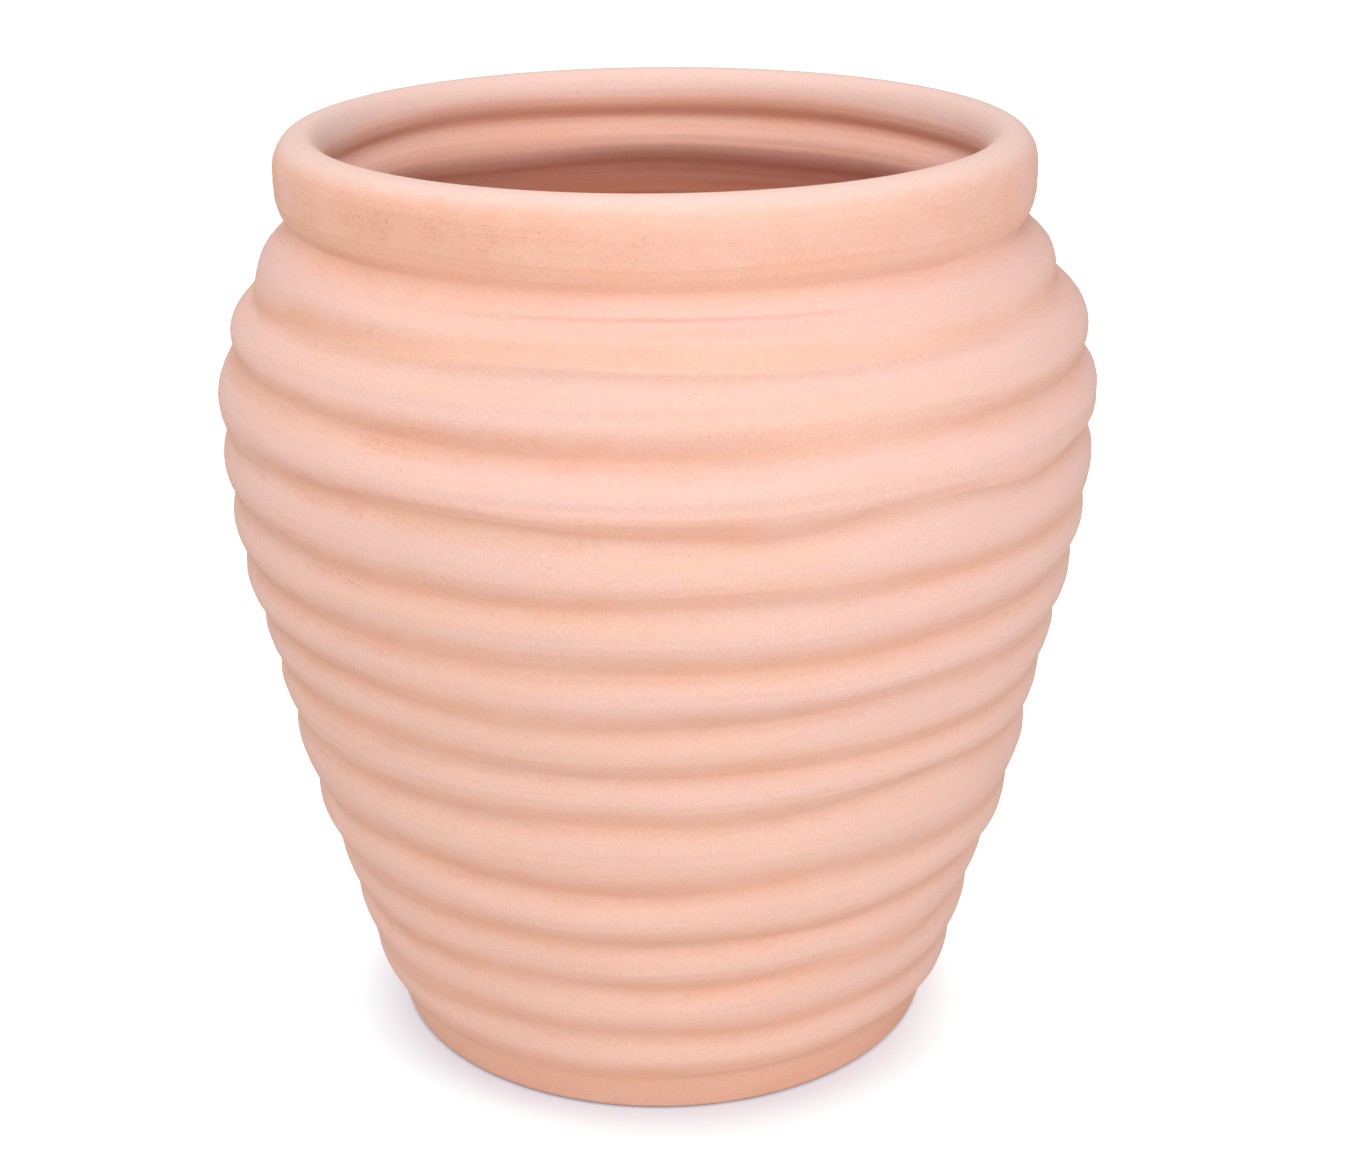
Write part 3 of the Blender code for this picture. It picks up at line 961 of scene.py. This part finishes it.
def make_planter():
    stretches = build_skin()
    surface = worked_surface(stretches)
    clay = terracotta("fired_clay")
    foot_joint = []
    for node, outside, inside, joint_height in RINGS:
        loops = [
            skin_loop(stretches, surface, outside),
            joint_loop(surface, outside, inside, joint_height, True),
            skin_loop(stretches, surface, inside),
        ]
        ring_piece("fired_" + node, node, loops + foot_joint, clay)
        foot_joint = [joint_loop(surface, outside, inside, joint_height, False)]
    loops = [skin_loop(stretches, surface, "collar")]
    ring_piece("fired_rim_collar", "rim_collar", loops + foot_joint, clay)


def make_camera():
    lens = bpy.data.cameras.new("photo_camera")
    lens.sensor_width = SENSOR
    lens.lens = PHOTO_FOCAL / PHOTO_WIDTH * SENSOR
    camera = bpy.data.objects.new("photo_camera", lens)
    forward = Vector((0, math.cos(CAMERA_PITCH), -math.sin(CAMERA_PITCH)))
    up = Vector((0, math.sin(CAMERA_PITCH), math.cos(CAMERA_PITCH)))
    right = Vector((1, 0, 0))
    turned_right = math.cos(CAMERA_ROLL) * right + math.sin(CAMERA_ROLL) * up
    turned_up = math.cos(CAMERA_ROLL) * up - math.sin(CAMERA_ROLL) * right
    axes = Matrix((turned_right, turned_up, -forward)).transposed()
    camera.matrix_world = Matrix.Translation(CAMERA_PLACE) @ axes.to_4x4()
    bpy.context.scene.collection.objects.link(camera)
    bpy.context.scene.camera = camera


FLOOR_SIZE = 12.0
FLOOR_COLOUR = (0.80, 0.80, 0.80)
# Painted contact shadow: the floor's colour right under the foot's edge
FLOOR_CONTACT_SHADOW = (0.42, 0.42, 0.44)
# What the camera sees added to the floor by the foot and where the close shadow ends
# The smaller lift by the foot paints the close shadow's width and tint over the rendered shadow
LIFT_NEAR = (0.05, 0.10, 0.17)
LIFT_FAR = (0.20, 0.29, 0.33)
# How far outside the foot the contact fades, the close shadow ends and the floor starts to whiten, and the
# radius at which it is white
# The contact there is a painted shadow
CONTACT_FADE = (-0.0015, 0.0025)
SHADOW_FADE = (0.002, 0.030)
WHITEN_FROM = 0.022
WHITE_RADIUS = 0.25
# Over what depth into the picture the floor turns white, and how far that depth leans to the right
# This whitening paints the shadow away behind the pot and on its right
WHITE_DEPTHS = (-0.193, 0.30)
DEPTH_LEAN = 0.2


def make_floor():
    """A wide pale floor with a partly painted shadow. For the camera it is lifted to white away from the
    pot, so just a shadow shows.
    """
    mesh = bpy.data.meshes.new("floor")
    half = FLOOR_SIZE / 2
    corners = [(-half, -half, 0), (half, -half, 0), (half, half, 0), (-half, half, 0)]
    mesh.from_pydata(corners, [], [(0, 1, 2, 3)])
    floor = bpy.data.objects.new("floor", mesh)
    paint = Paint("pale_floor")
    paint.shader.inputs["Roughness"].default_value = 1.0
    paint.shader.inputs["Specular IOR Level"].default_value = 0.0
    away = paint.away(paint.place(), (0, 0, 0))
    # A painted contact shadow darkens the floor at the foot's edge
    contact = paint.remap(away, FOOT_RADIUS + CONTACT_FADE[0], FOOT_RADIUS + CONTACT_FADE[1], 0.0, 1.0)
    paint.plug(paint.shader.inputs["Base Color"], paint.blend(FLOOR_CONTACT_SHADOW, FLOOR_COLOUR, contact))
    shadow_end = paint.remap(away, FOOT_RADIUS + SHADOW_FADE[0], FOOT_RADIUS + SHADOW_FADE[1], 0.0, 1.0)
    lift = paint.blend(LIFT_NEAR, LIFT_FAR, shadow_end)
    depth = paint.math("MULTIPLY_ADD", paint.place_along("X"), DEPTH_LEAN, third=paint.place_along("Y"))
    lift = paint.blend(lift, (1, 1, 1), paint.remap(depth, *WHITE_DEPTHS, 0.0, 1.0))
    lift = paint.blend(lift, (1, 1, 1), paint.remap(away, FOOT_RADIUS + WHITEN_FROM, WHITE_RADIUS, 0.0, 1.0))
    paint.plug(paint.shader.inputs["Emission Color"], lift)
    path = paint.nodes.new("ShaderNodeLightPath")
    paint.plug(paint.shader.inputs["Emission Strength"], path.outputs["Is Camera Ray"])
    mesh.materials.append(paint.material)
    bpy.context.scene.collection.objects.link(floor)


# How strongly the white surroundings light the pot
AMBIENT = 0.27


def make_world():
    """Even white surroundings. The camera sees them as plain white."""
    world = bpy.data.worlds.new("studio")
    world.use_nodes = True
    nodes = world.node_tree.nodes
    links = world.node_tree.links
    back = nodes["Background"]
    back.inputs["Color"].default_value = (1.0, 1.0, 1.0, 1)
    path = nodes.new("ShaderNodeLightPath")
    share = nodes.new("ShaderNodeMapRange")
    share.inputs["To Min"].default_value = AMBIENT
    share.inputs["To Max"].default_value = 1.0
    links.new(path.outputs["Is Camera Ray"], share.inputs["Value"])
    links.new(share.outputs["Result"], back.inputs["Strength"])
    bpy.context.scene.world = world


# Each softbox's name, place, side length and power in watts. All of them aim at the pot's middle.
LIGHT_AIM = (0, 0, 0.30)
SOFTBOXES = (
    ("front_box", (0.0, -3.0, 2.7), 2.4, 40),
    ("low_box", (0.0, -3.8, 1.5), 2.4, 31),
    ("left_box", (-2.5, -1.7, 3.1), 2.0, 24),
    ("right_box", (2.6, -1.8, 2.3), 2.0, 17),
    ("side_box", (2.6, -1.2, 1.2), 1.6, 12),
    ("back_box", (-2.4, 0.9, 2.2), 2.0, 18),
    ("top_box", (0.0, -0.3, 2.0), 1.4, 6.5),
)


def make_lights():
    for name, place, size, power in SOFTBOXES:
        lamp = bpy.data.lights.new(name, "AREA")
        lamp.shape = "SQUARE"
        lamp.size = size
        lamp.energy = power
        holder = bpy.data.objects.new(name, lamp)
        holder.location = place
        holder.rotation_euler = (Vector(LIGHT_AIM) - Vector(place)).to_track_quat("-Z", "Y").to_euler()
        bpy.context.scene.collection.objects.link(holder)


make_camera()
make_planter()
make_floor()
make_world()
make_lights()
bpy.context.scene.view_settings.view_transform = "Standard"
